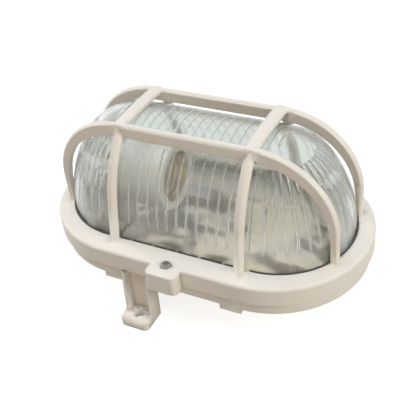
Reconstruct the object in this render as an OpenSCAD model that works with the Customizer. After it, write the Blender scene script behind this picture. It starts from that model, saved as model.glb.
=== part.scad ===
// Oval bulkhead light: moulded base and guard, reeded glass dome, E27 lampholder over a bright reflector.
// X runs along the light, Z points away from the wall, and the wall is the plane z = 0.

/* [Guard ring] */
// Height of the ring's top face above the wall
ring_top = 42; // [40:0.5:50]
// Half the distance between the centres of the ring's round ends
ring_centre = 38.4; // [38:0.2:44]
// Radius of the ring's round ends
ring_radius = 52.5; // [48:0.5:56]
// Thickness of the ring's top plate
ring_plate = 2.5; // [2:0.1:3.5]
// Depth of the ring's outer wall
ring_depth = 10.8; // [10:0.2:11.2]
// Thickness of the ring's outer wall
ring_wall = 2.2; // [1.8:0.1:2.6]
// Rounding of the ring's top edge
ring_round = 1.8; // [1:0.1:2]
// How far the centres of the opening's round ends lie past the ring's
open_shift = 3; // [2:0.2:4]
// Width of the ring's top face along its sides
ring_land = 11.6; // [11:0.1:12]
// Spacing of the nibs that centre the glass in the opening
nib_pitch = 13.4; // [10:0.1:18]

/* [Guard hoops] */
// Gap between the glass and the top of the long hoops
hoop_clear = 3; // [2.5:0.1:6]
// How far the long hoops stand in from the ring's ends
hoop_inset = 10.9; // [10:0.1:12]
// Outer bend radius of the long hoops
hoop_bend = 42; // [38:0.5:44]
// Distance of the long hoops' outer faces from the middle
hoop_side = 21.5; // [20:0.5:24]
// Thickness of the long hoops
hoop_thick = 4; // [2.5:0.1:4.2]
// Bevel of the long hoops' outer edges
hoop_bevel = 1.2; // [0.5:0.1:1.2]
// Depth of the long hoops at their top
hoop_deep = 6.8; // [5:0.1:8]
// Depth of the long hoops at their feet
hoop_foot = 4; // [3:0.1:4.5]
// Distance of the cross hoops from the middle
cross_place = 36; // [30:0.5:38]
// Width of the cross hoops' legs
cross_width = 5.4; // [4:0.1:8]
// Width of the cross hoops' strips over the top
strip_width = 7.2; // [4:0.1:9]
// Thickness of the cross hoops
cross_thick = 2.7; // [2.2:0.1:2.9]
// Bevel of the strips' outer edges, inwards
strip_bevel = 1.1; // [0.6:0.1:1.4]
// Bevel of the strips' outer edges, sideways
strip_slope = 1.6; // [0.8:0.1:1.9]
// Bevel of the legs' outer edges, inwards
leg_bevel = 1.9; // [0.6:0.1:2]
// Bevel of the legs' outer edges, sideways
leg_slope = 1.8; // [0.8:0.1:1.9]
// Depth of the legs' tips below the top of the long hoops
tip_drop = 1.6; // [0.4:0.1:2.4]
// How far the cross hoops stand in from the ring's sides
cross_inset = 7.9; // [7:0.1:9]
// Lean of the cross hoops' straight feet, in degrees
cross_lean = 11.5; // [8:0.5:14]
// Height of the cross hoops' straight feet above the ring
cross_straight = 20; // [15:0.5:25]
// Rise of the cross hoops' middle above the long hoops
cross_crown = 1; // [0.5:0.1:2]

/* [Guard screws] */
// How far the screws stand in from the ring's sides
screw_inset = 1.2; // [0.8:0.1:1.6]
// Half the width of the guard's screw bosses
boss_half = 8.8; // [7:0.1:11]
// Reach of the bosses past the screws
boss_reach = 8.6; // [7:0.1:10]
// Depth of the bosses
boss_depth = 11.5; // [11.5:0.1:13]
// Rounding of the bosses' corners
boss_round = 3; // [2:0.1:4]
// Diameter of the screws' thread
screw_size = 3; // [2.5:0.1:4]
// Diameter of the screws' heads
head_size = 6; // [5:0.1:7]
// Height of the screws' heads
head_high = 2; // [1.6:0.1:2.6]
// How far the heads sit in the bosses
head_sunk = 0.8; // [0.4:0.1:1.4]
// Nuts of the guard screws, across their flats
nut_flats = 5.5; // [5:0.1:7]
// Thickness of the nuts
nut_thick = 2.4; // [2:0.1:3]

/* [Glass] */
// Gap between the glass and the ring's opening
glass_gap = 1; // [0.8:0.1:1.5]
// Height of the dome above the ring's top face
glass_rise = 55; // [52:0.5:60]
// Radius of the dome's side walls
glass_side = 75; // [70:1:90]
// Thickness of the glass
glass_wall = 3; // [2.5:0.1:4]
// Thickness of the flange
glass_flange = 4; // [3:0.1:5]
// Radius of each reed
reed_radius = 0.6; // [0.5:0.1:1.2]
// Spacing of the reeds across the top
top_pitch = 5; // [4:0.1:7]
// Spacing of the reeds down the sides
side_pitch = 5.7; // [4.5:0.1:7]
// Angle of the top reeds' ends from upright, in degrees
top_angle = 29.4; // [20:0.2:32]
// Angle of the side reeds' upper ends from upright, in degrees
side_angle = 37; // [34:0.5:45]
// Height of the side reeds' lower ends above the ring
side_foot = 10; // [6:0.5:14]
// Reeds in each end's fan
fan_count = 19; // [11:2:25]

/* [Gasket] */
// Thickness of the gasket's lips
gasket_lip = 1.5; // [1:0.1:2]
// Thickness of the gasket's outer web
gasket_web = 1.5; // [1:0.1:2]
// Gap between the gasket and the ring's wall
gasket_gap = 1.3; // [0.8:0.1:2]

/* [Base] */
// Gap between the base's skirt and the ring's wall
skirt_gap = 1.3; // [0.8:0.1:2]
// Depth of the skirt's lower edge below the ring's top face
skirt_drop = 18.6; // [16:0.2:20]
// How far the skirt's shoulder under the ring stands in from the ring's sides
shoulder_inset = 1.8; // [1.5:0.1:2.4]
// Thickness of the base's walls
base_wall = 2.6; // [2:0.1:3.5]
// Thickness of the rim that carries the gasket
rim_thick = 3; // [2.4:0.1:4]
// Half the width of the flat back that meets the wall
back_half = 24; // [20:0.5:28]
// How far the hollow's mouth stands in from the ring's sides
mouth_inset = 9.5; // [9:0.1:10.5]
// Distance of the four pads from the light's middle along X
pad_place = 34.2; // [32:0.2:37]
// Width of the pads
pad_width = 11.6; // [8:0.2:14]
// How far the pads stand in from the ring's sides
pad_inset = 1; // [0.5:0.1:2]
// Gap between the pads and the guard's lower edge
pad_gap = 0.5; // [0.3:0.1:1]
// Depth of the pads below the skirt's lower edge
pad_drop = 1.5; // [0.5:0.1:3]
// Radius of the screw posts
post_radius = 4.75; // [4.4:0.05:6]
// Depth of the screw posts
post_depth = 4.4; // [4:0.1:6]

/* [Feet] */
// Distance of the feet's middles from the light's middle along X
foot_place = 19.4; // [18:0.2:22]
// Width of the feet
foot_width = 16.6; // [14:0.2:20]
// Reach of the feet past the ring's sides
foot_past = 10.5; // [10:0.5:16]
// Thickness of the feet
foot_thick = 5; // [4:0.1:6]
// Rounding of the feet's corners
foot_round = 2.4; // [1:0.1:4]
// Diameter of the mounting holes
foot_hole = 5.6; // [4:0.1:6.5]
// Distance of the mounting holes from the feet's front edges
foot_edge = 6.4; // [5:0.1:7]
// Thickness of the legs' side walls
leg_wall = 2.4; // [1.8:0.1:3]

/* [Lampholder] */
// Height of the lamp's axis above the ring's top face
lamp_rise = 16; // [14:0.5:18]
// Place of the lampholder's mouth along X
mouth_place = -18; // [-22:0.5:-14]
// Length of the lampholder
holder_long = 42; // [38:0.5:45]
// Outer radius of the lampholder
holder_radius = 19; // [18:0.2:20]
// Radius inside the brass shell
shell_radius = 13.35; // [13.2:0.05:13.6]
// Thickness of the brass shell
shell_wall = 0.4; // [0.3:0.05:0.6]
// Depth of the socket
socket_deep = 28; // [24:0.5:30]
// Thickness of the contact strips
strip_thick = 0.6; // [0.4:0.05:0.8]
// Distance of the fixing screws from the lamp's axis
ear_place = 17; // [16.5:0.1:18]

/* [Reflector and bracket] */
// Height of the reflector's floor above the wall
tray_low = 9; // [8:0.2:12]
// Height of the reflector's rim above the wall
tray_high = 23; // [20:0.5:30]
// Thickness of the reflector's sheet
tray_thick = 0.6; // [0.4:0.1:1]
// Gap between the reflector and the base
tray_gap = 1; // [0.5:0.1:1.5]
// Thickness of the bracket's sheet
bracket_thick = 1.5; // [1.2:0.1:2]
// Half the width of the bracket
bracket_half = 15; // [14:0.2:16]
// Length of the bracket's foot
bracket_foot = 28; // [24:0.5:32]
// Half the width of the bracket's neck, where it passes the reflector
neck_half = 6; // [4:0.2:6.4]
// Place of the cable entry along X
entry_place = 18; // [12:0.5:24]
// Radius of the cable entry
entry_radius = 7; // [6:0.1:8]
// Thickness of the collar round the cable entry
entry_collar = 3.2; // [2.6:0.1:5]
// Height of that collar above the base's floor
entry_rise = 2; // [1:0.1:3]
// Depth of the recess for the grommet's lip
entry_step = 1.6; // [1:0.1:2]

/* [Hidden] */
$fn = 64;

// Small overlap that lets one solid's pieces join, and a cut pass its face
join = 0.4;
// Running clearance between parts that slide apart
clear = 0.3;
// Far enough to pass through anything here
far = 300;

// Stack of the seal, from the ring down to the base's rim
plate_low = ring_top - ring_plate;
flange_top = plate_low - gasket_lip;
flange_low = flange_top - glass_flange;
rim_top = flange_low - gasket_lip;
ring_low = ring_top - ring_depth;
boss_low = ring_top - boss_depth;

// Radii of what nests inside the ring's wall
open_centre = ring_centre + open_shift;
open_radius = ring_radius - ring_land;
mouth_radius = ring_radius - mouth_inset;
ring_inner = ring_radius - ring_wall;
gasket_radius = ring_inner - gasket_gap;
flange_radius = gasket_radius - gasket_web;
skirt_radius = ring_inner - skirt_gap;
skirt_low = ring_top - skirt_drop;
shoulder_radius = ring_radius - shoulder_inset;
rim_low = rim_top - rim_thick;

// The dome's section is a side arc and a top arc that meet without a corner
glass_radius = open_radius - glass_gap;
side_shift = glass_side - glass_radius;
top_radius = (glass_side^2 - side_shift^2 - glass_rise^2) / (2 * (glass_side - glass_rise));
top_centre = glass_rise - top_radius;
blend_angle = atan2(top_centre, side_shift);

// Hoops
hoop_rise = glass_rise + hoop_clear;
hoop_reach = ring_centre + ring_radius - hoop_inset;
guard_clear = 1;
room_high = 18;
cross_foot = ring_radius - cross_inset;

// Screw posts and nuts
screw_place = ring_radius - screw_inset;
post_top = boss_low - clear;
post_low = post_top - post_depth;
nut_gap = 0.2;
nut_low = post_low + nut_gap;
nut_bore = screw_size / 2 + 0.1;
head_low = ring_top - head_sunk;
screw_hole = screw_size / 2 + clear;
retainer_wall = 1.2;
retainer_radius = screw_size / 2 + retainer_wall;
retainer_thick = 1.2;
retainer_low = boss_low + clear;

// Shares of a pan head: its straight side, and the flat on its top
head_side = 0.6;
head_flat = 0.72;
// Width of a screw's slot or cross recess
slot_width = 0.8;

// Lampholder, along +X from the bracket to the mouth
lamp_axis = ring_top + lamp_rise;
holder_back = mouth_place - holder_long;
socket_floor = holder_long - socket_deep;
shell_out = shell_radius + shell_wall;
ear_radius = 4.4;
holder_cone = 3;
nut_room = 2.6;
ear_thick = socket_floor - holder_cone - nut_room - nut_thick;
core_radius = 13.4;
terminal_place = 6;
terminal_size = 6.4;
terminal_low = 2;
terminal_back = 2;

// Sprung tongue in the socket, and the shell that starts just past it
contact_lift = 5;
shell_strip = 3;
shell_low = socket_floor + contact_lift + clear;

// Legs and feet
foot_reach = ring_radius + foot_past;
leg_back = skirt_radius - base_wall;
leg_top = ring_low - 2 * pad_gap;
leg_left = -foot_place - foot_width / 2;
leg_lean = 1.5;
leg_web = 3;
rib_top = 6.9;
rib_low = 7.5;

// Posts inside the base
tray_screw_places = [-14, 48];
bracket_screw_places = [-9, 9];
bracket_screw_x = holder_back + bracket_foot / 2;
stud_radius = 3.6;
pilot_radius = 1.2;
small_head = 5.4;
small_high = 1.8;
tray_screw_long = 6;

// The bracket's foot lies under the reflector, with room for its screws' heads
bracket_low = tray_low - small_high - bracket_thick - 2 * clear;
bracket_top = bracket_low + bracket_thick;
bracket_screw_long = bracket_top - base_wall - clear;
neck_long = 6;
neck_rise = 5;
neck_top = tray_low + neck_rise;

// Points along an arc in the plane
function arc(centre, radius, from, to, steps = 6) =
    [for (i = [0:steps]) let (a = from + (to - from) * i / steps) centre + radius * [cos(a), sin(a)]];

// An oval solid: the (radius, height) outline drawn as children, turned round each end and drawn out between
module oval_turn(centre) {
    for (side = [-1, 1])
        translate([side * centre, 0, 0]) rotate([0, 0, -90 * side]) rotate_extrude(angle = 180) children();
    translate([-centre, 0, 0]) rotate([90, 0, 90]) linear_extrude(2 * centre) {
        children();
        mirror([1, 0]) children();
    }
}

// A flat oval plate
module oval_plate(centre, radius, low, high) {
    for (side = [-1, 1])
        translate([side * centre, 0, low]) cylinder(r = radius, h = high - low);
    translate([-centre, -radius, low]) cube([2 * centre, 2 * radius, high - low]);
}

// Copies for the light's two screw places
module at_screws() {
    for (side = [-1, 1]) translate([0, side * screw_place, 0]) children();
}

// Copies turned half round, as the feet are
module both_ways() {
    for (turn = [0, 180]) rotate([0, 0, turn]) children();
}

// A piece of ring in the plane between two angles
module arc_band(centre, outer, inner, from, to) {
    reach = outer * 2;
    translate(centre) intersection() {
        difference() {
            circle(r = outer);
            circle(r = inner);
        }
        polygon([[0, 0], reach * [cos(from), sin(from)], reach * [cos(to), sin(to)]]);
    }
}

// Outline of the dome's wall above the ring's top face
module dome_section() {
    arc_band([-side_shift, ring_top], glass_side, glass_side - glass_wall, 0, blend_angle);
    arc_band([0, ring_top + top_centre], top_radius, top_radius - glass_wall, blend_angle, 90);
}

// Round-headed screw standing at its head's seat, drawn downwards
module pan_screw(size, head, high, long) {
    side = high * head_side;
    cylinder(r = head / 2, h = side);
    translate([0, 0, side]) cylinder(r1 = head / 2, r2 = head / 2 * head_flat, h = high - side);
    translate([0, 0, -long]) cylinder(r = size / 2, h = long + join);
}

// Hex nut standing on its lower face
module hex_nut(flats, thick, bore) {
    difference() {
        cylinder(r = flats / sqrt(3), h = thick, $fn = 6);
        translate([0, 0, -join]) cylinder(r = bore, h = thick + 2 * join);
    }
}

// Section of a long hoop's outer band, its outer edges bevelled
module hoop_section(outer) {
    half = hoop_thick / 2;
    low = outer - hoop_foot + join;
    bevel = hoop_bevel;
    polygon([[low, -half], [outer - bevel, -half], [outer, bevel - half], [outer, half - bevel],
        [outer - bevel, half], [low, half]]);
}

// Section of a cross hoop, flat inside and crowned outside
module cross_section(outer, width, bevel, slope) {
    half = width / 2;
    flat = half - slope;
    low = outer - cross_thick;
    polygon([[low, -half], [outer - bevel, -half], [outer, -flat], [outer, flat],
        [outer - bevel, half], [low, half]]);
}

// A bar bent round the origin, with a straight tail behind its first angle
module bent_bar(from, to, tail) {
    rotate([0, 0, from]) {
        rotate_extrude(angle = to - from) children();
        rotate([90, 0, 0]) linear_extrude(tail) children();
    }
}

// A plain arch, half as wide as its reach says, with round shoulders
module arch(reach, rise, bend) {
    for (side = [0, 1]) mirror([side, 0]) {
        square([reach - bend, rise]);
        translate([reach - bend, 0]) square([bend, rise - bend]);
        translate([reach - bend, rise - bend]) intersection() {
            circle(r = bend);
            square(bend);
        }
    }
}

// One long hoop over the light: a bevelled band on a web that is shallow at its feet and deep at its top
module long_hoop() {
    low = hoop_rise - hoop_bend;
    run = hoop_reach - hoop_bend;
    buried = hoop_foot / 2;
    translate([0, 0, ring_top]) rotate([90, 0, 0]) {
        for (side = [0, 1]) mirror([side, 0, 0]) translate([run, low, 0])
            bent_bar(0, 90, low + join) hoop_section(hoop_bend);
        translate([-run, low, 0]) rotate([0, 90, 0])
            linear_extrude(2 * run) rotate(90) hoop_section(hoop_bend);
        linear_extrude(hoop_thick, center = true) difference() {
            arch(hoop_reach - buried, hoop_rise - buried, hoop_bend - buried);
            arch(hoop_reach - hoop_foot, hoop_rise - hoop_deep, hoop_bend - hoop_foot);
        }
    }
}

// Cone that keeps a long hoop's feet clear of the dome
module foot_room() {
    low_radius = glass_radius + guard_clear;
    high_radius = sqrt(glass_side ^ 2 - room_high ^ 2) - side_shift + guard_clear;
    for (side = [-1, 1]) translate([side * open_centre, 0, ring_top - 2 * join])
        cylinder(r1 = low_radius, r2 = high_radius, h = room_high + 2 * join);
}

// One leg of a cross hoop, from the ring up to the long hoop
module cross_leg() {
    start = [cross_foot - cross_straight * tan(cross_lean), cross_straight];
    end = [hoop_side - join, hoop_rise - tip_drop];
    chord = end - start;
    sweep = 2 * (atan2(-chord.x, chord.y) - cross_lean);
    bend = norm(chord) / (2 * sin(sweep / 2));
    centre = start - bend * [cos(cross_lean), sin(cross_lean)];
    translate([0, centre.x, ring_top + centre.y]) rotate([90, 0, 90])
        bent_bar(cross_lean, cross_lean + sweep, cross_straight / cos(cross_lean) + join)
            cross_section(bend, cross_width, leg_bevel, leg_slope);
}

// The strip that joins the long hoops over the top
module cross_strip() {
    half = hoop_side - join;
    bend = (half ^ 2 + cross_crown ^ 2) / (2 * cross_crown);
    sweep = asin(half / bend);
    translate([0, 0, ring_top + hoop_rise + cross_crown - bend]) rotate([90, 0, 90])
        rotate([0, 0, 90 - sweep]) rotate_extrude(angle = 2 * sweep)
            cross_section(bend, strip_width, strip_bevel, strip_slope);
}

// The guard's ring before its opening is cut
module ring_blank() {
    oval_turn(ring_centre)
        polygon(concat([[0, plate_low], [ring_inner, plate_low], [ring_inner, ring_low],
            [ring_radius, ring_low]],
            arc([ring_radius - ring_round, ring_top - ring_round], ring_round, 0, 90), [[0, ring_top]]));
}

// Edge of a screw boss: its outline outwards from a corner's centre, its top edge rounded
module boss_edge() {
    edge = ring_round / 2;
    polygon(concat([[0, boss_low], [boss_round, boss_low]],
        arc([boss_round - edge, ring_top - edge], edge, 0, 90, 4), [[0, ring_top]]));
}

// A screw boss of the guard, its middle on the screw, with two round corners
module guard_boss() {
    inner = screw_place - gasket_radius - clear;
    half = boss_half - boss_round;
    front = boss_reach - boss_round;
    for (side = [0, 1]) mirror([side, 0, 0]) translate([half, front, 0]) {
        rotate_extrude() boss_edge();
        rotate([90, 0, 0]) linear_extrude(front + inner) boss_edge();
    }
    translate([-half, front, 0]) rotate([90, 0, 90]) linear_extrude(2 * half) boss_edge();
    translate([-half, -inner, boss_low]) cube([2 * half, front + inner, boss_depth]);
}

// Oval ring, two long hoops and two cross hoops in one moulding
module guard() {
    nib_width = 1;
    color("ivory") difference() {
        union() {
            difference() {
                ring_blank();
                oval_plate(open_centre, open_radius, ring_low - join, ring_top + join);
            }
            for (side = [0, 1]) mirror([0, side, 0]) {
                translate([0, screw_place, 0]) guard_boss();
                for (i = [-3:3])
                    translate([i * nib_pitch - nib_width / 2, glass_radius + clear, plate_low + clear])
                        cube([nib_width, glass_gap, ring_plate - 2 * clear]);
            }
            for (side = [0, 1]) mirror([0, side, 0]) {
                difference() {
                    translate([0, hoop_side - hoop_thick / 2, 0]) long_hoop();
                    foot_room();
                }
                for (place = [-cross_place, cross_place]) translate([place, 0, 0]) cross_leg();
            }
            for (place = [-cross_place, cross_place]) translate([place, 0, 0]) cross_strip();
        }
        at_screws() {
            translate([0, 0, boss_low - join]) cylinder(r = screw_hole, h = boss_depth + 2 * join);
            translate([0, 0, head_low]) cylinder(r = head_size / 2 + clear, h = boss_depth);
            translate([0, 0, boss_low - join])
                cylinder(r = retainer_radius + clear, h = retainer_thick + clear + join);
        }
    }
}

// A reed on the dome's inner face along one meridian, in the plane x = 0 on the +Y side
module side_reed() {
    foot_angle = asin(side_foot / glass_side);
    rotate([90, 0, 90]) {
        translate([-side_shift, ring_top]) rotate([0, 0, foot_angle])
            rotate_extrude(angle = blend_angle - foot_angle)
                translate([glass_side - glass_wall, 0]) circle(r = reed_radius);
        translate([0, ring_top + top_centre]) rotate([0, 0, blend_angle])
            rotate_extrude(angle = 90 - side_angle - blend_angle)
                translate([top_radius - glass_wall, 0]) circle(r = reed_radius);
    }
}

// A reed over the top at one place along X, shorter where the dome's round end begins
module top_reed(place) {
    past = max(0, abs(place) - open_centre + 2 * top_pitch);
    bend = sqrt((top_radius - glass_wall) ^ 2 - max(0, abs(place) - open_centre) ^ 2);
    half = top_angle * (1 - past / (4 * top_pitch));
    translate([place, 0, ring_top + top_centre]) rotate([90, 0, 90]) rotate([0, 0, 90 - half])
        rotate_extrude(angle = 2 * half) translate([bend, 0]) circle(r = reed_radius);
}

// Clear pressed glass, reeded inside, with a flange under the ring
module glass() {
    top_count = floor((open_centre + top_pitch) / top_pitch);
    side_count = floor(open_centre / side_pitch);
    fan_step = 180 / (fan_count + 1);
    color("lightcyan", 0.4) {
        difference() {
            oval_plate(ring_centre, flange_radius, flange_low, flange_top);
            oval_plate(open_centre, glass_radius - glass_wall, flange_low - join, flange_top + join);
        }
        oval_turn(open_centre) {
            translate([glass_radius - glass_wall, flange_low]) square([glass_wall, ring_top - flange_low]);
            dome_section();
        }
        for (i = [-top_count:top_count]) top_reed(i * top_pitch);
        for (side = [0, 1]) mirror([0, side, 0])
            for (i = [-side_count:side_count]) translate([i * side_pitch, 0, 0]) side_reed();
        for (side = [0, 1]) mirror([side, 0, 0]) translate([open_centre, 0, 0])
            for (i = [1:fan_count]) rotate([0, 0, -i * fan_step]) side_reed();
    }
}

// Black rubber channel that wraps the glass flange
module gasket() {
    lower_lip = mouth_radius + clear;
    upper_lip = glass_radius + clear;
    color("black") {
        difference() {
            oval_plate(ring_centre, gasket_radius, rim_top, flange_low);
            oval_plate(ring_centre, lower_lip, rim_top - join, flange_low + join);
        }
        difference() {
            oval_plate(ring_centre, gasket_radius, flange_low, flange_top);
            oval_plate(ring_centre, flange_radius, flange_low - join, flange_top + join);
        }
        difference() {
            oval_plate(ring_centre, gasket_radius, flange_top, plate_low);
            oval_plate(open_centre, upper_lip, flange_top - join, plate_low + join);
        }
    }
}

// Two cross-recess screws that hold the guard down
module guard_screws() {
    recess = head_size / 2;
    color("silver") at_screws() translate([0, 0, head_low]) difference() {
        pan_screw(screw_size, head_size, head_high, head_low - post_low + clear);
        for (turn = [0, 90]) rotate([0, 0, turn])
            translate([-recess / 2, -slot_width / 2, head_high / 2]) cube([recess, slot_width, head_high]);
    }
}

// Two hex nuts in the base's posts
module guard_nuts() {
    color("silver") at_screws() translate([0, 0, nut_low])
        hex_nut(nut_flats, nut_thick, nut_bore);
}

// Two rings that keep the screws in the guard
module screw_retainers() {
    color("dimgray") at_screws() translate([0, 0, retainer_low]) difference() {
        cylinder(r = retainer_radius, h = retainer_thick);
        translate([0, 0, -join]) cylinder(r = screw_size / 2, h = retainer_thick + 2 * join);
    }
}

// Outline of the base: flat back, sloping bowl, rim, and a skirt that steps out to a shoulder under the ring
module base_section() {
    bowl_radius = mouth_radius + base_wall;
    slope = (bowl_radius - back_half) / rim_low;
    shift = base_wall * sqrt(1 + slope ^ 2);
    skirt_inner = skirt_radius - base_wall;
    step = post_top - base_wall;
    chamfer = 0.8;
    polygon([[0, 0], [back_half, 0], [bowl_radius, rim_low], [skirt_inner, rim_low], [skirt_inner, step],
        [shoulder_radius - base_wall, step], [shoulder_radius - base_wall, skirt_low],
        [shoulder_radius - chamfer, skirt_low], [shoulder_radius, skirt_low + chamfer],
        [shoulder_radius, post_top], [skirt_radius, post_top], [skirt_radius, rim_top],
        [mouth_radius, rim_top], [mouth_radius, (mouth_radius + shift - back_half) / slope],
        [back_half - shift + slope * base_wall, base_wall], [0, base_wall]]);
}

// Side outline of a leg, drawn along X from its left face
module leg_side(width) {
    toe = leg_back + leg_lean + rib_low;
    linear_extrude(width)
        polygon([[-leg_back, leg_top], [-leg_back - leg_lean, 0], [-toe - leg_web, 0], [-toe, foot_thick],
            [-leg_back - rib_top, leg_top]]);
}

// Moves a leg's outline to its place on the -Y side, left of the middle
module at_leg() {
    translate([leg_left, 0, 0]) rotate([90, 0, 90]) children();
}

// One stand-off leg with its foot: a web between two ribs
module leg() {
    at_leg() {
        for (place = [0, foot_width - leg_wall]) translate([0, 0, place]) leg_side(leg_wall);
        linear_extrude(foot_width)
            polygon([[-leg_back, leg_top], [-leg_back - leg_lean, 0], [-leg_back - leg_lean - leg_web, 0],
                [-leg_back - leg_web, leg_top]]);
    }
    translate([leg_left, -foot_reach, 0]) linear_extrude(foot_thick) {
        translate([0, foot_round])
            square([foot_width, foot_reach - leg_back - leg_lean - foot_round]);
        translate([foot_round, 0]) square([foot_width - 2 * foot_round, 2 * foot_round]);
        for (place = [foot_round, foot_width - foot_round])
            translate([place, foot_round]) circle(r = foot_round);
    }
}

// Two stand-off legs, seated in notches of the base's skirt, with the holes for the wall screws
module feet() {
    color("ivory") difference() {
        both_ways() leg();
        both_ways() translate([-foot_place, foot_edge - foot_reach, -join])
            cylinder(r = foot_hole / 2, h = foot_thick + 2 * join);
    }
}

// Moulded base with four pads, two screw posts and the cable entry
module base() {
    pad_low = skirt_low - pad_drop;
    pad_high = ring_low - pad_gap;
    pad_reach = ring_radius - pad_inset;
    color("ivory") difference() {
        union() {
            oval_turn(ring_centre) base_section();
            for (side = [-1, 1], end = [-1, 1])
                translate([end * pad_place - pad_width / 2, side * pad_reach, pad_low])
                    mirror([0, side > 0 ? 1 : 0, 0])
                        cube([pad_width, pad_reach - skirt_radius + base_wall, pad_high - pad_low]);
            at_screws() translate([0, 0, post_low]) cylinder(r = post_radius, h = post_depth);
            for (place = tray_screw_places)
                translate([place, 0, base_wall - join])
                    cylinder(r = stud_radius, h = tray_low - base_wall + join);
            for (place = bracket_screw_places) translate([bracket_screw_x, place, base_wall - join])
                cylinder(r = stud_radius, h = bracket_low - base_wall + join);
            translate([entry_place, 0, 0])
                cylinder(r = entry_radius + entry_collar, h = base_wall + entry_rise);
        }
        both_ways() at_leg() leg_side(foot_width);
        at_screws() {
            translate([0, 0, post_low - join]) cylinder(r = screw_hole, h = post_depth + 2 * join);
            translate([0, 0, post_low - join])
                cylinder(r = (nut_flats + nut_gap) / sqrt(3), h = nut_thick + nut_gap + join, $fn = 6);
            translate([0, 0, post_top]) cylinder(r = retainer_radius + 2 * clear, h = far);
        }
        for (place = tray_screw_places)
            translate([place, 0, base_wall]) cylinder(r = pilot_radius, h = tray_low);
        for (place = bracket_screw_places)
            translate([bracket_screw_x, place, base_wall]) cylinder(r = pilot_radius, h = tray_low);
        translate([entry_place, 0, -join]) {
            cylinder(r = entry_radius, h = far);
            cylinder(r = entry_radius + entry_step, h = entry_step + join);
        }
    }
}

// Rubber membrane that seals the cable entry, flush with the back
module cable_grommet() {
    snug = 0.2;
    wall = 1.8;
    bead = 2;
    skin = 0.8;
    lip = entry_radius + entry_step - snug;
    top = base_wall + entry_rise;
    color("dimgray") translate([entry_place, 0, 0]) difference() {
        union() {
            translate([0, 0, snug]) cylinder(r = lip, h = entry_step - snug);
            cylinder(r = entry_radius - snug / 2, h = top + join);
            translate([0, 0, top]) cylinder(r1 = lip, r2 = entry_radius, h = bead);
        }
        translate([0, 0, -join]) cylinder(r = entry_radius - wall, h = top);
        translate([0, 0, top + skin]) cylinder(r1 = bead, r2 = entry_radius - wall, h = bead);
    }
}

// Bright aluminium tray that lines the base
module reflector() {
    bowl_radius = mouth_radius + base_wall;
    slope = (bowl_radius - back_half) / rim_low;
    shift = base_wall * sqrt(1 + slope ^ 2) + tray_gap;
    low_out = back_half - shift + slope * tray_low;
    high_out = back_half - shift + slope * tray_high;
    gap = bracket_thick;
    color("silver") difference() {
        oval_turn(ring_centre)
            polygon([[0, tray_low], [low_out, tray_low], [high_out, tray_high],
                [high_out - 2 * tray_thick, tray_high],
                [low_out - tray_thick / 2, tray_low + tray_thick], [0, tray_low + tray_thick]]);
        translate([holder_back - bracket_thick - gap, -neck_half - gap, tray_low - join])
            cube([bracket_thick + 2 * gap, 2 * (neck_half + gap), tray_low]);
        for (place = tray_screw_places)
            translate([place, 0, tray_low - join]) cylinder(r = pilot_radius + clear, h = tray_low);
    }
}

// Two screws through the reflector's floor
module reflector_screws() {
    color("silver") for (place = tray_screw_places)
        translate([place, 0, tray_low + tray_thick])
            pan_screw(2 * pilot_radius, small_head, small_high, tray_screw_long);
}

// Steel angle that carries the lampholder: a foot under the reflector, a neck through it and an upright
module holder_bracket() {
    edge = 2;
    window = terminal_place + terminal_size / 2;
    margin = 1;
    ear_half = ear_radius + edge;
    color("lightgray") difference() {
        union() {
            translate([holder_back - bracket_thick, -neck_half, bracket_low])
                cube([bracket_foot, 2 * neck_half, bracket_thick]);
            translate([holder_back + neck_long, -bracket_half, bracket_low])
                cube([bracket_foot - neck_long, 2 * bracket_half, bracket_thick]);
            translate([holder_back - bracket_thick, -neck_half, bracket_low])
                cube([bracket_thick, 2 * neck_half, lamp_axis - bracket_low]);
            translate([holder_back - bracket_thick, -bracket_half, neck_top])
                cube([bracket_thick, 2 * bracket_half, lamp_axis - neck_top]);
            translate([holder_back - bracket_thick, -ear_place - ear_radius, lamp_axis - ear_half])
                cube([bracket_thick, 2 * (ear_place + ear_radius), 2 * ear_half]);
        }
        translate([holder_back - far / 2, -window, lamp_axis - margin])
            cube([far, 2 * window, terminal_size + 2 * margin]);
        for (side = [-1, 1]) translate([holder_back - 2 * bracket_thick, side * ear_place, lamp_axis])
            rotate([0, 90, 0]) cylinder(r = screw_hole, h = 3 * bracket_thick);
        for (place = bracket_screw_places)
            translate([bracket_screw_x, place, bracket_low - join])
                cylinder(r = pilot_radius + clear, h = 3 * bracket_thick);
    }
}

// Two screws through the bracket's foot
module bracket_screws() {
    color("silver") for (place = bracket_screw_places)
        translate([bracket_screw_x, place, bracket_top])
            pan_screw(2 * pilot_radius, small_head, small_high, bracket_screw_long);
}

// Lays a solid that stands on z = 0 along the lampholder's axis, from its back
module along_holder() {
    translate([holder_back, 0, lamp_axis]) rotate([0, 90, 0]) children();
}

// White porcelain E27 holder with two ears and two terminal wells
module lampholder_body() {
    lip = 1.2;
    well = terminal_size + 2 * clear;
    bore = shell_out + clear;
    color("whitesmoke") difference() {
        union() {
            along_holder() {
                rotate_extrude() polygon(concat([[0, 0], [core_radius, 0],
                    [core_radius, socket_floor - holder_cone], [holder_radius, socket_floor]],
                    arc([holder_radius - lip, holder_long - lip], lip, 0, 90), [[0, holder_long]]));
                linear_extrude(ear_thick) {
                    translate([-ear_radius, -ear_place]) square([2 * ear_radius, 2 * ear_place]);
                    for (side = [-1, 1]) translate([0, side * ear_place]) circle(r = ear_radius);
                }
            }
        }
        along_holder() {
            translate([0, 0, socket_floor]) cylinder(r = bore, h = far);
            for (side = [-1, 1])
                translate([0, side * ear_place, -join]) cylinder(r = screw_hole, h = ear_thick + 2 * join);
        }
        for (side = [-1, 1])
            translate([holder_back + terminal_back, side * terminal_place - well / 2,
                lamp_axis + terminal_low]) cube([well, well, far]);
    }
}

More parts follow.
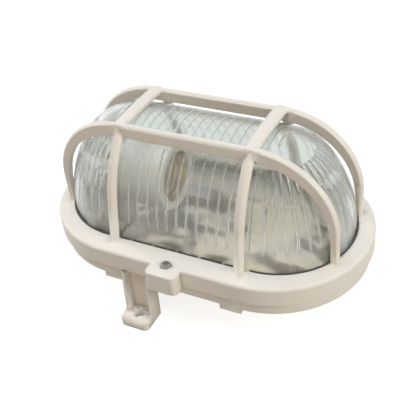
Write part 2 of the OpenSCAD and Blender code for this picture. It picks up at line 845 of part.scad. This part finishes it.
// Brass screw shell with a slightly flared mouth
module lampholder_shell() {
    flare = 0.2;
    high = holder_long - 1;
    straight = high - 1;
    color("goldenrod") along_holder() rotate_extrude()
        polygon([[shell_radius, shell_low], [shell_out, shell_low], [shell_out, straight],
            [shell_out + flare, high], [shell_radius + flare, high], [shell_radius, straight]]);
}

// Sprung tongue in the middle of the socket
module centre_contact() {
    width = 7;
    reach = 7;
    tip = reach * 0.7;
    color("peru") translate([holder_back + socket_floor, width / 2, lamp_axis]) rotate([90, 0, 0])
        linear_extrude(width) polygon([[0, -reach], [strip_thick, -reach], [strip_thick, -reach / 3],
            [contact_lift, reach / 4], [contact_lift - strip_thick, tip],
            [contact_lift - 2 * strip_thick, tip],
            [contact_lift - 1.4 * strip_thick, reach / 4], [0, -reach / 3 + strip_thick]]);
}

// Strip on the socket's floor with an upright tab that carries the shell
module shell_contact() {
    span = 100;
    tab = 40;
    color("peru") along_holder() translate([0, 0, socket_floor]) {
        rotate([0, 0, 180 - span / 2]) rotate_extrude(angle = span)
            translate([shell_out - shell_strip, 0]) square([shell_strip, strip_thick]);
        rotate([0, 0, 180 - tab / 2]) rotate_extrude(angle = tab)
            translate([shell_out - clear / 2, 0]) square([shell_wall, shell_low - socket_floor]);
    }
}

// Two brass blocks, each with a hole for a wire
module terminal_clamps() {
    wire_radius = 1.4;
    middle = terminal_size / 2;
    color("goldenrod") for (side = [-1, 1])
        translate([holder_back + terminal_back + clear, side * terminal_place - middle,
            lamp_axis + terminal_low]) difference() {
                cube(terminal_size);
                translate([-join, middle, middle - join]) rotate([0, 90, 0])
                    cylinder(r = wire_radius, h = terminal_size + 2 * join);
                translate([middle, middle, middle]) cylinder(r = pilot_radius + clear, h = terminal_size);
            }
}

// Their two screws
module terminal_screws() {
    head = 4.4;
    high = 1.6;
    middle = terminal_size / 2;
    color("silver") for (side = [-1, 1])
        translate([holder_back + terminal_back + clear + middle, side * terminal_place,
            lamp_axis + terminal_low + terminal_size])
            difference() {
                pan_screw(2 * pilot_radius, head, high, middle);
                translate([-head, -slot_width / 2, high / 2]) cube([2 * head, slot_width, high]);
            }
}

// Two screws from behind the bracket into the lampholder's ears
module holder_screws() {
    color("silver") for (side = [-1, 1]) translate([holder_back - bracket_thick, side * ear_place, lamp_axis])
        rotate([0, -90, 0])
            pan_screw(screw_size, head_size, head_high, bracket_thick + ear_thick + nut_thick);
}

// Nuts on the front of the ears
module holder_nuts() {
    color("silver") for (side = [-1, 1]) translate([holder_back + ear_thick, side * ear_place, lamp_axis])
        rotate([0, 90, 0]) hex_nut(nut_flats, nut_thick, nut_bore);
}

base();
feet();
guard();
glass();
gasket();
guard_screws();
guard_nuts();
screw_retainers();
reflector();
reflector_screws();
holder_bracket();
bracket_screws();
lampholder_body();
lampholder_shell();
centre_contact();
shell_contact();
terminal_clamps();
terminal_screws();
holder_screws();
holder_nuts();
cable_grommet();
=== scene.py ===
import math

import bmesh
import bpy
from mathutils import Matrix, Vector


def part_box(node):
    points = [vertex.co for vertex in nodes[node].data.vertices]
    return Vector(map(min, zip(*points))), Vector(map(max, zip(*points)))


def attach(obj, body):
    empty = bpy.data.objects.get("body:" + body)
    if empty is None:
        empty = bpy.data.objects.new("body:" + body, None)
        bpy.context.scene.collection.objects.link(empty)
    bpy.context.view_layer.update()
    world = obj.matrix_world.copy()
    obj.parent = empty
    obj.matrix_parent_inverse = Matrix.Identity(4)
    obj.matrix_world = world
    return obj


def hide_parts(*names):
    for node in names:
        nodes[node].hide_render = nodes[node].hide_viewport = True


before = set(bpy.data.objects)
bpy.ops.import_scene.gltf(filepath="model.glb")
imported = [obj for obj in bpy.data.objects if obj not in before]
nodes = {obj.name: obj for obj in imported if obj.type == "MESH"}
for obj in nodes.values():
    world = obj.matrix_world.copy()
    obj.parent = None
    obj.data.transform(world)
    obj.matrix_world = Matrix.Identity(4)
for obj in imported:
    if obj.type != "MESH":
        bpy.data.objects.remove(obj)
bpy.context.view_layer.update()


# Base: one ivory plastic moulding with a bowl, a rim for the gasket, four pads and two screw posts.
# It is injection moulded, so every edge has a small radius and the faces keep a faint satin grain.
class Shade:
    """A socket of a node tree. Sums on it add Math nodes, and node() adds any other node."""

    def __init__(self, tree, socket):
        self.tree = tree
        self.socket = socket

    def node(self, kind, inputs, out=0, **settings):
        made = self.tree.nodes.new(kind)
        for name, value in settings.items():
            setattr(made, name, value)
        for key, value in inputs.items():
            if isinstance(value, Shade):
                self.tree.links.new(value.socket, made.inputs[key])
            else:
                made.inputs[key].default_value = value
        return Shade(self.tree, made.outputs[out])

    def sum(self, operation, first, second):
        return self.node("ShaderNodeMath", {0: first, 1: second}, operation=operation)

    def __add__(self, other):
        return self.sum("ADD", self, other)

    def __radd__(self, other):
        return self.sum("ADD", other, self)

    def __sub__(self, other):
        return self.sum("SUBTRACT", self, other)

    def __rsub__(self, other):
        return self.sum("SUBTRACT", other, self)

    def __mul__(self, other):
        return self.sum("MULTIPLY", self, other)

    def __rmul__(self, other):
        return self.sum("MULTIPLY", other, self)

    def part(self, axis):
        """One coordinate of a vector."""
        return self.node("ShaderNodeSeparateXYZ", {"Vector": self}, out=axis)

    def mapped(self, low, high, first=0.0, last=1.0, **settings):
        """Goes from first to last as this value goes from low to high."""
        inputs = {"Value": self, "From Min": low, "From Max": high, "To Min": first, "To Max": last}
        return self.node("ShaderNodeMapRange", inputs, **settings)

    def noise(self, scale, detail=2.0, stretch=(1, 1, 1), shift=(0, 0, 0)):
        place = self.node("ShaderNodeMapping", {"Vector": self, "Scale": stretch, "Location": shift})
        return self.node("ShaderNodeTexNoise", {"Vector": place, "Scale": scale, "Detail": detail})

    def mixed(self, first, second):
        """Mixes two colours by this value. A Mix node's colours are its inputs 6 and 7 and output 2."""
        return self.node("ShaderNodeMix", {0: self, 6: first, 7: second}, out=2, data_type="RGBA")

    def blend(self, first, second):
        return self.mixed((*first, 1), (*second, 1))

    def bump(self, strength, depth, rounding=0.0):
        inputs = {"Height": self, "Strength": strength, "Distance": depth}
        if rounding:
            inputs["Normal"] = self.node("ShaderNodeBevel", {"Radius": rounding}, samples=8)
        return self.node("ShaderNodeBump", inputs)


def finish(name, **constants):
    """A new material: its object coordinates, and a way to feed its shader's sockets."""
    material = bpy.data.materials.new(name)
    material.use_nodes = True
    tree = material.node_tree
    shader = tree.nodes["Principled BSDF"]
    for socket, value in constants.items():
        shader.inputs[socket.replace("_", " ")].default_value = value
    place = Shade(tree, tree.nodes.new("ShaderNodeTexCoord").outputs["Object"])

    def feed(socket, shade):
        tree.links.new(shade.socket, shader.inputs[socket])

    return material, place, feed


def settled(piece):
    """Turns a piece with its modifiers into a plain mesh."""
    graph = bpy.context.evaluated_depsgraph_get()
    mesh = bpy.data.meshes.new_from_object(piece.evaluated_get(graph))
    piece.modifiers.clear()
    piece.data = mesh
    return piece


def placed(name, mesh):
    """An object at the origin, in the scene."""
    piece = bpy.data.objects.new(name, mesh)
    bpy.context.scene.collection.objects.link(piece)
    return piece


def smoothed(mesh, angle):
    """Smooth where faces meet gently, sharp where they meet at more than an angle in degrees."""
    mesh.shade_smooth()
    mesh.set_sharp_from_angle(angle=math.radians(angle))


def shown(name, mesh, material, angle=40):
    """A piece with one material."""
    mesh.materials.clear()
    mesh.materials.append(material)
    smoothed(mesh, angle)
    return placed(name, mesh)


def meshed(name, shape):
    """Turns the points and faces of a shape into a mesh."""
    mesh = bpy.data.meshes.new(name)
    shape.to_mesh(mesh)
    shape.free()
    return mesh


weld = 2e-6


def softened(node, material, radius=0.0, angle=40):
    """A copy of a CAD solid with its triangles merged and its edges softened, standing for that solid."""
    shape = bmesh.new()
    shape.from_mesh(nodes[node].data)
    bmesh.ops.remove_doubles(shape, verts=shape.verts, dist=weld)
    piece = shown(node + "_soft", meshed(node + "_soft", shape), material, angle)
    if radius:
        bevel = piece.modifiers.new("edges", "BEVEL")
        bevel.width = radius
        bevel.segments = 3
        bevel.limit_method = "ANGLE"
        bevel.angle_limit = math.radians(angle)
        bevel.use_clamp_overlap = False
        settled(piece)
        smoothed(piece.data, angle)
    level = piece.modifiers.new("flats", "WEIGHTED_NORMAL")
    level.weight = 80
    level.keep_sharp = True
    settled(piece)
    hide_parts(node)
    return piece


ivory, place, feed = finish("ivory_plastic", Specular_IOR_Level=0.45)
mottle = place.noise(scale=55, detail=4)
feed("Base Color", mottle.blend((0.80, 0.74, 0.645), (0.84, 0.79, 0.705)))
feed("Roughness", 0.34 + 0.1 * place.noise(scale=420))
feed("Normal", place.noise(scale=2600).bump(strength=0.12, depth=0.00004, rounding=0.0006))
base = softened("base", ivory)
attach(base, "housing")

# Feet: two stand-off legs of the same plastic, each a web between two ribs with a foot for a wall screw.
# They sit in notches of the base's skirt, one on each long side.
feet = softened("feet", ivory)
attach(feet, "housing")

# Cable grommet: a soft dark rubber plug pressed into the entry in the base's back.
# The cable pierces its thin skin when the light is wired.
rubber, place, feed = finish("black_rubber")
dust = place.noise(scale=300, detail=3)
feed("Base Color", dust.blend((0.05, 0.052, 0.05), (0.09, 0.092, 0.088)))
feed("Roughness", 0.55 + 0.2 * dust)
feed("Normal", place.noise(scale=1800).bump(strength=0.2, depth=0.00005))
grommet = softened("cable_grommet", rubber)
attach(grommet, "housing")

# Reflector: bright rolled aluminium sheet, pressed into a tray that lines the bowl.
# Pressing leaves it wavy, so what it mirrors is bent and streaked, and its colour has painted reflections.
aluminium, place, feed = finish("bright_aluminium", Metallic=1.0)
rolled = place.noise(scale=900, stretch=(0.06, 1, 1))
# Broad cream and lilac patches in the base colour are painted reflections of the room, not stains.
painted_reflection_patches = place.noise(scale=45)
waves = place.noise(scale=30, detail=1.5, stretch=(0.6, 1, 1), shift=(0.15, 0.06, 0))
feed("Base Color", painted_reflection_patches.blend((0.65, 0.625, 0.71), (0.86, 0.79, 0.62)))
feed("Roughness", 0.12 + 0.06 * rolled)
feed("Normal", waves.bump(strength=1.0, depth=0.011))
reflector = softened("reflector", aluminium)
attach(reflector, "housing")

# Lampholder bracket: a zinc plated steel angle, folded from sheet and screwed to two studs of the base.
# It holds the lampholder's axis level with the middle of the dome.
zinc, place, feed = finish("zinc_steel", Metallic=1.0)
spangle = place.noise(scale=240, detail=3)
feed("Base Color", spangle.blend((0.68, 0.69, 0.70), (0.82, 0.83, 0.83)))
feed("Roughness", 0.28 + 0.14 * spangle)
bracket = softened("holder_bracket", zinc, radius=0.0002)
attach(bracket, "housing")

# Lampholder body: white glazed porcelain with two ears and two terminal wells.
# It is pressed and fired, so its edges are soft and the glaze is glassy and a little uneven.
porcelain, place, feed = finish("porcelain", Coat_Weight=0.6, Coat_Roughness=0.05)
glaze = place.noise(scale=140, detail=3)
feed("Base Color", glaze.blend((0.83, 0.815, 0.75), (0.89, 0.875, 0.82)))
feed("Roughness", 0.16 + 0.1 * glaze)
feed("Normal", place.noise(scale=160).bump(strength=0.1, depth=0.0004))
holder = softened("lampholder_body", porcelain, radius=0.0004)
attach(holder, "housing")

# Lampholder contacts: a brass screw shell, a sprung tongue and a strip of bronze, and two brass clamps.
# The shell's round thread is 27 mm across with a pitch of 3.63 mm, rolled into thin sheet.
brass, place, feed = finish("brass", Metallic=1.0)
tarnish = place.noise(scale=210, detail=4)
feed("Base Color", tarnish.blend((0.62, 0.43, 0.17), (0.78, 0.60, 0.30)))
feed("Roughness", 0.2 + 0.18 * tarnish)
thread_pitch = 0.00363
thread_depth = 0.0009
thread_fade = 0.002
shell_sheet = 0.0004
shell_gap = 0.0002
shell_sides = 64
shell_steps = 60
low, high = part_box("lampholder_shell")
axis_z = (low.z + high.z) / 2
shell_radius = high.z - axis_z - shell_gap


def shell_wall(shape, sheet):
    """Rings of points along one face of the shell, at a depth under its outer face."""
    rows = []
    for i in range(shell_steps + 1):
        x = low.x + (high.x - low.x) * i / shell_steps
        ends = min(1.0, min(x - low.x, high.x - x) / thread_fade)
        row = []
        for j in range(shell_sides):
            a = 2 * math.pi * j / shell_sides
            wave = 0.5 - 0.5 * math.cos(2 * math.pi * (x - low.x) / thread_pitch - a)
            r = shell_radius - sheet - thread_depth * wave * ends
            row.append(shape.verts.new((x, r * math.sin(a), axis_z + r * math.cos(a))))
        rows.append(row)
    return rows


def skinned(shape, first, second):
    """Faces between two closed rings of points."""
    for j in range(len(first)):
        k = (j + 1) % len(first)
        shape.faces.new((first[j], first[k], second[k], second[j]))


shape = bmesh.new()
rows = shell_wall(shape, 0.0)
rows += reversed(shell_wall(shape, shell_sheet))
for first, second in zip(rows, rows[1:] + rows[:1]):
    skinned(shape, first, second)
bmesh.ops.recalc_face_normals(shape, faces=shape.faces)
shell = shown("threaded_shell", meshed("threaded_shell", shape), brass, angle=60)
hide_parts("lampholder_shell")
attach(shell, "housing")
bronze, place, feed = finish("bronze", Metallic=1.0)
stain = place.noise(scale=260, detail=3)
feed("Base Color", stain.blend((0.50, 0.31, 0.16), (0.68, 0.47, 0.28)))
feed("Roughness", 0.25 + 0.15 * stain)
for node in ("centre_contact", "shell_contact"):
    contact = softened(node, bronze)
    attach(contact, "housing")
clamps = softened("terminal_clamps", brass, radius=0.0002)
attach(clamps, "housing")

# Nuts: plated M3 hex nuts, two in the base's posts and two on the lampholder's ears.
# They are cold formed, so their corners are chamfered.
plated, place, feed = finish("plated_steel", Metallic=1.0)
scuff = place.noise(scale=700, detail=3)
feed("Base Color", scuff.blend((0.47, 0.45, 0.43), (0.62, 0.60, 0.58)))
feed("Roughness", 0.07 + 0.1 * scuff)
for node in ("guard_nuts", "holder_nuts"):
    nuts = softened(node, plated, radius=0.0002)
    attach(nuts, "housing")

# Gasket: a black rubber channel round the glass flange, squeezed between the base's rim and the guard.
# Its soft lip stands up in the gap between the glass and the ring, a dark line broken by the guard's nibs
# and legs. Two rubber rings keep the guard's screws in their bosses.
gasket = softened("gasket", rubber)
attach(gasket, "guard_set")
oval_centre = 41.4
nibs = 2
nib_step = 13.4
nib_half = 0.8
leg_place = 38.0
leg_half = 4.9
lip_inside = 40.05
lip_outside = 40.8
lip_low = 39.4
lip_side = 42.4
lip_top = 42.65
lip_crest = (40.25, 40.65)
lip_section = ((lip_inside, lip_low), (lip_outside, lip_low), (lip_outside, lip_side),
               (lip_crest[1], lip_top), (lip_crest[0], lip_top), (lip_inside, lip_side))
bend_steps = 45


def oval_point(centre, turn, radius, height):
    """A point in metres, from millimetres: turned in degrees round a centre on the light's long axis."""
    a = math.radians(turn)
    return (centre + radius * math.cos(a)) / 1000, radius * math.sin(a) / 1000, height / 1000


breaks = [(nib_step * i, nib_half) for i in range(-nibs, nibs + 1)]
breaks += [(-leg_place, leg_half), (leg_place, leg_half)]
ends = sorted([x - half for x, half in breaks] + [x + half for x, half in breaks])
bend = [(oval_centre, 180.0 * i / bend_steps - 90) for i in range(bend_steps + 1)]
stretches = [bend, [(-centre, 180 - turn) for centre, turn in bend]]
for start, stop in zip(ends[1::2], ends[2::2]):
    stretches += [[(start, -90.0), (stop, -90.0)], [(stop, 90.0), (start, 90.0)]]
shape = bmesh.new()
for stretch in stretches:
    rows = [[shape.verts.new(oval_point(centre, turn, r, z)) for r, z in lip_section]
            for centre, turn in stretch]
    shape.faces.new(rows[0])
    shape.faces.new(rows[-1])
    for first, second in zip(rows, rows[1:]):
        skinned(shape, first, second)
bmesh.ops.recalc_face_normals(shape, faces=shape.faces)
lip = shown("gasket_lip", meshed("gasket_lip", shape), rubber)
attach(lip, "guard_set")
retainers = softened("screw_retainers", rubber)
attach(retainers, "guard_set")

# Glass: a pressed clear dome, smooth outside and reeded inside, with a flange that the gasket holds.
# Reeds run down the sides, fan round the ends and cross the top, and each ends in a round tip.
# The flange is ground dull. Sizes are in millimetres and angles in degrees.
glass_radius = 39.9
glass_wall = 3.0
side_radius = 75.0
side_shift = side_radius - glass_radius
ring_top = 42.0
dome_rise = 55.0
crown_radius = (side_radius ** 2 - side_shift ** 2 - dome_rise ** 2) / (2 * (side_radius - dome_rise))
crown_z = ring_top + dome_rise - crown_radius
meet = math.degrees(math.atan2(dome_rise - crown_radius, side_shift))
flange_radius = 47.4
flange_centre = 38.4
flange_low = 34.05
flange_top = 37.95
reed = 0.6
reed_share = 0.75
side_pitch = 5.7
side_reeds = 7
side_low = 10.0
side_foot = math.degrees(math.asin(side_low / side_radius))
side_head = 53.0
fan_step = 9.0
fan_reeds = 9
fan_radius = 33.0
top_pitch = 5.0
top_reeds = 9
top_reach = 29.4
top_share = 0.45
top_fade = 4 * top_pitch
no_reed = 9.0
hair = 1e-6


def dome_point(angle, depth):
    """Radius and height of a point of the dome's section, at an angle and a depth under its outer face."""
    a = math.radians(angle)
    if angle < meet:
        r = side_radius - depth
        return r * math.cos(a) - side_shift, ring_top + r * math.sin(a)
    r = crown_radius - depth
    return r * math.cos(a), crown_z + r * math.sin(a)


def along(angle):
    """Length along the inner face from the foot to an angle."""
    side = math.radians(min(angle, meet)) * (side_radius - glass_wall)
    return side + math.radians(max(0.0, angle - meet)) * (crown_radius - glass_wall)


def reed_height(centre, turn, angle):
    """How far the reeds stand in from the dome's inner face at one point."""
    s = along(angle)
    r, z = dome_point(angle, glass_wall)
    past = max(along(side_foot) - s, s - along(side_head), 0.0)
    if abs(centre) < oval_centre - hair:
        aside = abs(centre - side_pitch * round(centre / side_pitch))
        if abs(centre) >= (side_reeds + 0.5) * side_pitch:
            aside = no_reed
    else:
        aside = abs(turn - fan_step * round(turn / fan_step)) * math.pi / 180 * r
        if abs(abs(turn) - 90) < fan_step / 2:
            aside = no_reed
    best = reed ** 2 - aside ** 2 - past ** 2
    x = centre + r * math.cos(math.radians(turn))
    y = r * math.sin(math.radians(turn))
    column = round(x / top_pitch)
    if abs(column) <= top_reeds:
        out = max(0.0, abs(column * top_pitch) - oval_centre + top_fade / 2)
        reach = top_reach * (1 - out / top_fade)
        tilt = math.degrees(math.atan2(abs(y), z - crown_z))
        beyond = max(0.0, math.radians(tilt - reach) * (crown_radius - glass_wall))
        best = max(best, top_share * (reed ** 2 - (x - column * top_pitch) ** 2 - beyond ** 2))
    return math.sqrt(best) if best > 0 else 0.0


def spread(start, end, steps):
    """Even steps from a start, which is left out, to an end."""
    return [start + (end - start) * i / steps for i in range(1, steps + 1)]


least_gap = 0.08
across = [reed * f for f in (-1.25, -1.0, -0.75, -0.4, 0.0, 0.4, 0.75, 1.0, 1.25)]
straight = {-oval_centre, oval_centre}
for pitch, reeds in ((side_pitch, side_reeds), (top_pitch, top_reeds)):
    for i in range(-reeds, reeds + 1):
        straight.update(pitch * i + d for d in across)
straight = sorted(x for x in straight if abs(x) <= oval_centre)
kept = [straight[0]]
for x in straight[1:]:
    if x - kept[-1] > least_gap:
        kept.append(x)
kept[-1] = oval_centre
fan = {-90.0, 90.0, -90 + fan_step / 2}
for i in range(-fan_reeds, fan_reeds + 1):
    fan.update(fan_step * i + math.degrees(d / fan_radius) for d in across)
    fan.add(fan_step * (i + 0.5))
fan = sorted(fan)
columns = [(x, -90.0) for x in kept[:-1]] + [(oval_centre, a) for a in fan[:-1]]
columns += [(x, 90.0) for x in reversed(kept[1:])] + [(-oval_centre, 180 - a) for a in reversed(fan[1:])]
foot_row = 7.66
top_row = 60.6
inner_rows = [0, 3.5, 6.2, 6.94, 7.05, 7.25, 7.45, foot_row]
inner_rows += spread(foot_row, meet, 9) + spread(meet, side_head, 7)
inner_rows += [53.4, 53.8, 54.1, 54.3, 56.5, 59.2, 59.6, 60.1, top_row]
inner_rows += spread(top_row, 90, 22)
outer_rows = [0.0] + spread(0.0, meet, 7) + spread(meet, 90, 11)
squeeze = flange_centre / oval_centre
rim = ((1, glass_radius, flange_top), (squeeze, flange_radius, flange_top),
       (squeeze, flange_radius, flange_low), (1, glass_radius - glass_wall, flange_low))
rings = []
for angle in reversed(outer_rows):
    rings.append([oval_point(centre, turn, *dome_point(angle, 0)) for centre, turn in columns])
for share, r, z in rim:
    rings.append([oval_point(centre * share, turn, r, z) for centre, turn in columns])
for angle in inner_rows:
    ring = []
    for centre, turn in columns:
        side = turn if abs(turn) <= 90 else 180 - turn
        depth = glass_wall + reed_share * reed_height(abs(centre), side, angle)
        ring.append(oval_point(centre, turn, *dome_point(angle, depth)))
    rings.append(ring)
shape = bmesh.new()
grid = [[shape.verts.new(point) for point in ring] for ring in rings]
for first, second in zip(grid, grid[1:]):
    skinned(shape, first, second)
bmesh.ops.remove_doubles(shape, verts=shape.verts, dist=weld)
bmesh.ops.dissolve_degenerate(shape, edges=shape.edges, dist=hair)
bmesh.ops.recalc_face_normals(shape, faces=shape.faces)
clear, place, feed = finish("clear_glass", Transmission_Weight=0.905, IOR=1.5)
tint = place.noise(scale=30)
feed("Base Color", tint.blend((0.80, 0.835, 0.815), (0.83, 0.86, 0.84)))
feed("Roughness", 0.09 + 0.05 * tint)
feed("Normal", place.noise(scale=45, detail=1).bump(strength=0.06, depth=0.0005))
tree = clear.node_tree
pressed = Shade(tree, tree.nodes["Principled BSDF"].outputs[0])
frost = place.node("ShaderNodeBsdfDiffuse", {"Color": (0.78, 0.80, 0.78, 1)})
dull_low = 0.038
dull_high = 0.0392
ground = place.part("Z").mapped(dull_low, dull_high, first=0.75, last=0.0)
dulled = ground.node("ShaderNodeMixShader", {0: ground, 1: pressed, 2: frost})
path = tree.nodes.new("ShaderNodeLightPath")
through = Shade(tree, path.outputs["Is Shadow Ray"]) + Shade(tree, path.outputs["Is Diffuse Ray"])
open_air = place.node("ShaderNodeBsdfTransparent", {"Color": (0.96, 0.97, 0.965, 1)})
either = through.node("ShaderNodeMixShader", {0: through, 1: dulled, 2: open_air})
tree.links.new(either.socket, tree.nodes["Material Output"].inputs["Surface"])
glass = shown("reeded_glass", meshed("reeded_glass", shape), clear, angle=55)
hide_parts("glass")
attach(glass, "guard_set")

# Guard: one ivory moulding of the same plastic, an oval ring with two long hoops and two cross hoops.
# It clamps the glass and gasket to the base with a screw through the boss on each long side.
guard = softened("guard", ivory, angle=32)
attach(guard, "guard_set")

# Screws: plated pan heads with a cross recess or a slot and a rolled thread, each at its CAD place.
# The same screw in five sizes holds the guard, the reflector, the bracket, the lampholder and the wires.
screw_sizes = ("Head radius", "Head height", "Shank radius", "Shank length", "Recess width")


def screw_tree():
    """Draws one screw down from its head's seat and sets it on each point of a mesh."""
    tree = bpy.data.node_groups.new("pan_screw", "GeometryNodeTree")
    face = tree.interface
    face.new_socket("Geometry", in_out="OUTPUT", socket_type="NodeSocketGeometry")
    face.new_socket("Geometry", in_out="INPUT", socket_type="NodeSocketGeometry")
    for name in (*screw_sizes, "Second slot"):
        face.new_socket(name, in_out="INPUT", socket_type="NodeSocketFloat")
    face.new_socket("Turn", in_out="INPUT", socket_type="NodeSocketRotation")
    face.new_socket("Material", in_out="INPUT", socket_type="NodeSocketMaterial")
    given = tree.nodes.new("NodeGroupInput")
    points, head, high, shank, long, width, second, turn, material = (
        Shade(tree, given.outputs[i]) for i in range(9))
    up = Shade(tree, tree.nodes.new("GeometryNodeInputPosition").outputs[0]).part("Z")

    def corner(**sides):
        return head.node("ShaderNodeCombineXYZ", sides)

    def turned(low, top, count, radius, sides):
        line = head.node("GeometryNodeCurvePrimitiveLine", {"Start": corner(Z=low), "End": corner(Z=top)})
        line = line.node("GeometryNodeResampleCurve", {"Curve": line, "Count": count})
        ring = head.node("GeometryNodeCurvePrimitiveCircle", {"Resolution": sides, "Radius": 1.0})
        inputs = {"Curve": line, "Profile Curve": ring, "Scale": radius, "Fill Caps": True}
        return line.node("GeometryNodeCurveToMesh", inputs)

    crown = up.sum("DIVIDE", up, high).mapped(0.45, 1.0, interpolation_type="SMOOTHSTEP")
    pan = turned(low=0.0, top=high, count=14, radius=head * (1 - 0.3 * crown), sides=40)
    half_pitch = 0.00025
    groove_slope = 700.0
    overlap = 0.0002
    groove = up.sum("PINGPONG", up, half_pitch) * groove_slope
    thread = turned(low=long * -1.0, top=overlap, count=90, radius=shank * (1 - groove), sides=20)
    lift = corner(Z=high)
    for size in (corner(X=head, Y=width, Z=high), corner(X=width, Y=head * second, Z=high)):
        slot = head.node("GeometryNodeMeshCube", {"Size": size})
        slot = slot.node("GeometryNodeTransform", {"Geometry": slot, "Translation": lift})
        pan = pan.node("GeometryNodeMeshBoolean", {"Mesh 1": pan, "Mesh 2": slot},
                       operation="DIFFERENCE", solver="EXACT")
    joined = tree.nodes.new("GeometryNodeJoinGeometry")
    tree.links.new(pan.socket, joined.inputs[0])
    tree.links.new(thread.socket, joined.inputs[0])
    screw = Shade(tree, joined.outputs[0])
    inputs = {"Points": points, "Instance": screw, "Rotation": turn}
    whole = points.node("GeometryNodeInstanceOnPoints", inputs)
    whole = whole.node("GeometryNodeRealizeInstances", {"Geometry": whole})
    whole = whole.node("GeometryNodeSetMaterial", {"Geometry": whole, "Material": material})
    tree.links.new(whole.socket, tree.nodes.new("NodeGroupOutput").inputs[0])
    return tree


tree = screw_tree()
sockets = {item.name: item.identifier for item in tree.interface.items_tree if item.in_out == "INPUT"}
for node, body, spots, turn, sizes, second in (
        ("guard_screws", "guard_set", ((0, -51.3, 41.2), (0, 51.3, 41.2)),
         (0, 0, 0.5), (3.0, 2.0, 1.5, 15.7, 1.0), 1.0),
        ("reflector_screws", "housing", ((-14, 0, 9.6), (48, 0, 9.6)),
         (0, 0, 0.9), (2.7, 1.8, 1.2, 6.0, 0.7), 1.0),
        ("bracket_screws", "housing", ((-46, -9, 6.6), (-46, 9, 6.6)),
         (0, 0, 0.2), (2.7, 1.8, 1.2, 3.7, 0.7), 1.0),
        ("terminal_screws", "housing", ((-54.5, -6, 66.4), (-54.5, 6, 66.4)),
         (0, 0, 0.3), (2.2, 1.6, 1.2, 3.2, 0.8), 0.3),
        ("holder_screws", "housing", ((-61.5, -17, 58), (-61.5, 17, 58)),
         (0, -math.pi / 2, 0), (3.0, 2.0, 1.5, 9.9, 0.8), 1.0)):
    mesh = bpy.data.meshes.new(node + "_turned")
    mesh.from_pydata([tuple(v / 1000 for v in spot) for spot in spots], [], [])
    screws = placed(node + "_turned", mesh)
    made = screws.modifiers.new("screw", "NODES")
    made.node_group = tree
    for name, size in zip(screw_sizes, sizes):
        made[sockets[name]] = size / 1000
    made[sockets["Second slot"]] = second
    made[sockets["Turn"]] = turn
    made[sockets["Material"]] = plated
    settled(screws)
    smoothed(screws.data, angle=35)
    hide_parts(node)
    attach(screws, body)

# Studio: a white floor that keeps a soft shadow, a white surround, four soft lamps and the camera.
# Metal and glass mirror a dimmer surround, with warm and cool patches overhead as in a room.
# The camera stands where the photograph was taken from.
floor_reach = 6
floor_level = -0.0003
corners = [(x * floor_reach, y * floor_reach, floor_level) for x, y in ((-1, -1), (1, -1), (1, 1), (-1, 1))]
floor_mesh = bpy.data.meshes.new("floor")
floor_mesh.from_pydata(corners, [], [(0, 1, 2, 3)])
floor = placed("floor", floor_mesh)


def ray_kinds(tree):
    """Whether the camera sees something, and whether metal or glass shows it."""
    path = tree.nodes.new("ShaderNodeLightPath")
    glossy, passed = (Shade(tree, path.outputs[kind]) for kind in ("Is Glossy Ray", "Is Transmission Ray"))
    return Shade(tree, path.outputs["Is Camera Ray"]), glossy + passed


paper, place, feed = finish("paper", Base_Color=(0.5, 0.49, 0.47, 1), Roughness=1.0,
                            Specular_IOR_Level=0.0, Emission_Color=(1, 1, 1, 1))
seen, mirrored = ray_kinds(paper.node_tree)
feed("Emission Strength", 0.8 * seen + 0.42 * mirrored)
floor_mesh.materials.append(paper)

world = bpy.data.worlds.new("surround")
bpy.context.scene.world = world
world.use_nodes = True
tree = world.node_tree
seen, mirrored = ray_kinds(tree)
toward = Shade(tree, tree.nodes.new("ShaderNodeTexCoord").outputs["Generated"])
room = toward.part("Y").mapped(-0.6, 0.7, first=0.5, last=0.8)
overhead = toward.part("Z").mapped(0.0, 0.15)
patches = toward.noise(scale=2.2, detail=1).mapped(0.38, 0.62)
colour = (overhead * mirrored).mixed((1, 1, 1, 1), patches.blend((0.64, 0.63, 0.76), (1.12, 1.0, 0.76)))
background = tree.nodes["Background"]
tree.links.new(colour.socket, background.inputs["Color"])
tree.links.new((0.12 + 0.88 * seen + mirrored * room).socket, background.inputs["Strength"])


def lamp(name, spot, aim, size, power, tint):
    """A round soft lamp, in metres and watts, that metal and glass don't mirror."""
    light = bpy.data.lights.new(name, "AREA")
    light.shape = "DISK"
    light.size = size
    light.energy = power
    light.color = tint
    lit = placed(name, light)
    lit.visible_glossy = False
    lit.visible_transmission = False
    lit.location = spot
    lit.rotation_euler = (Vector(aim) - Vector(spot)).to_track_quat("-Z", "Y").to_euler()


lamp("left", spot=(-1.0, 0.1, 0.6), aim=(0, 0, 0.04), size=0.6, power=6, tint=(0.97, 1, 1.03))
lamp("right", spot=(1.1, -0.12, 0.6), aim=(0, 0, 0.04), size=0.6, power=7.6, tint=(1, 0.98, 0.91))
lamp("top", spot=(-0.1, -0.1, 2.2), aim=(0, 0, 0.04), size=1.5, power=25.5, tint=(0.92, 1, 1.13))
lamp("front", spot=(0.0, -0.9, 0.35), aim=(0, 0, 0.03), size=0.6, power=1.1, tint=(1, 0.66, 0.34))

camera = bpy.data.cameras.new("camera")
camera.lens = 62.21
camera.sensor_width = 36
stand = (0.1561, -0.2719, 0.2843)
right, up, back = (0.895, 0.437, -0.092), (-0.205, 0.585, 0.785), (0.397, -0.683, 0.613)
eye = placed("camera", camera)
eye.matrix_world = Matrix.Translation(stand) @ Matrix((right, up, back)).transposed().to_4x4()
bpy.context.scene.camera = eye
bpy.context.scene.view_settings.view_transform = "Standard"
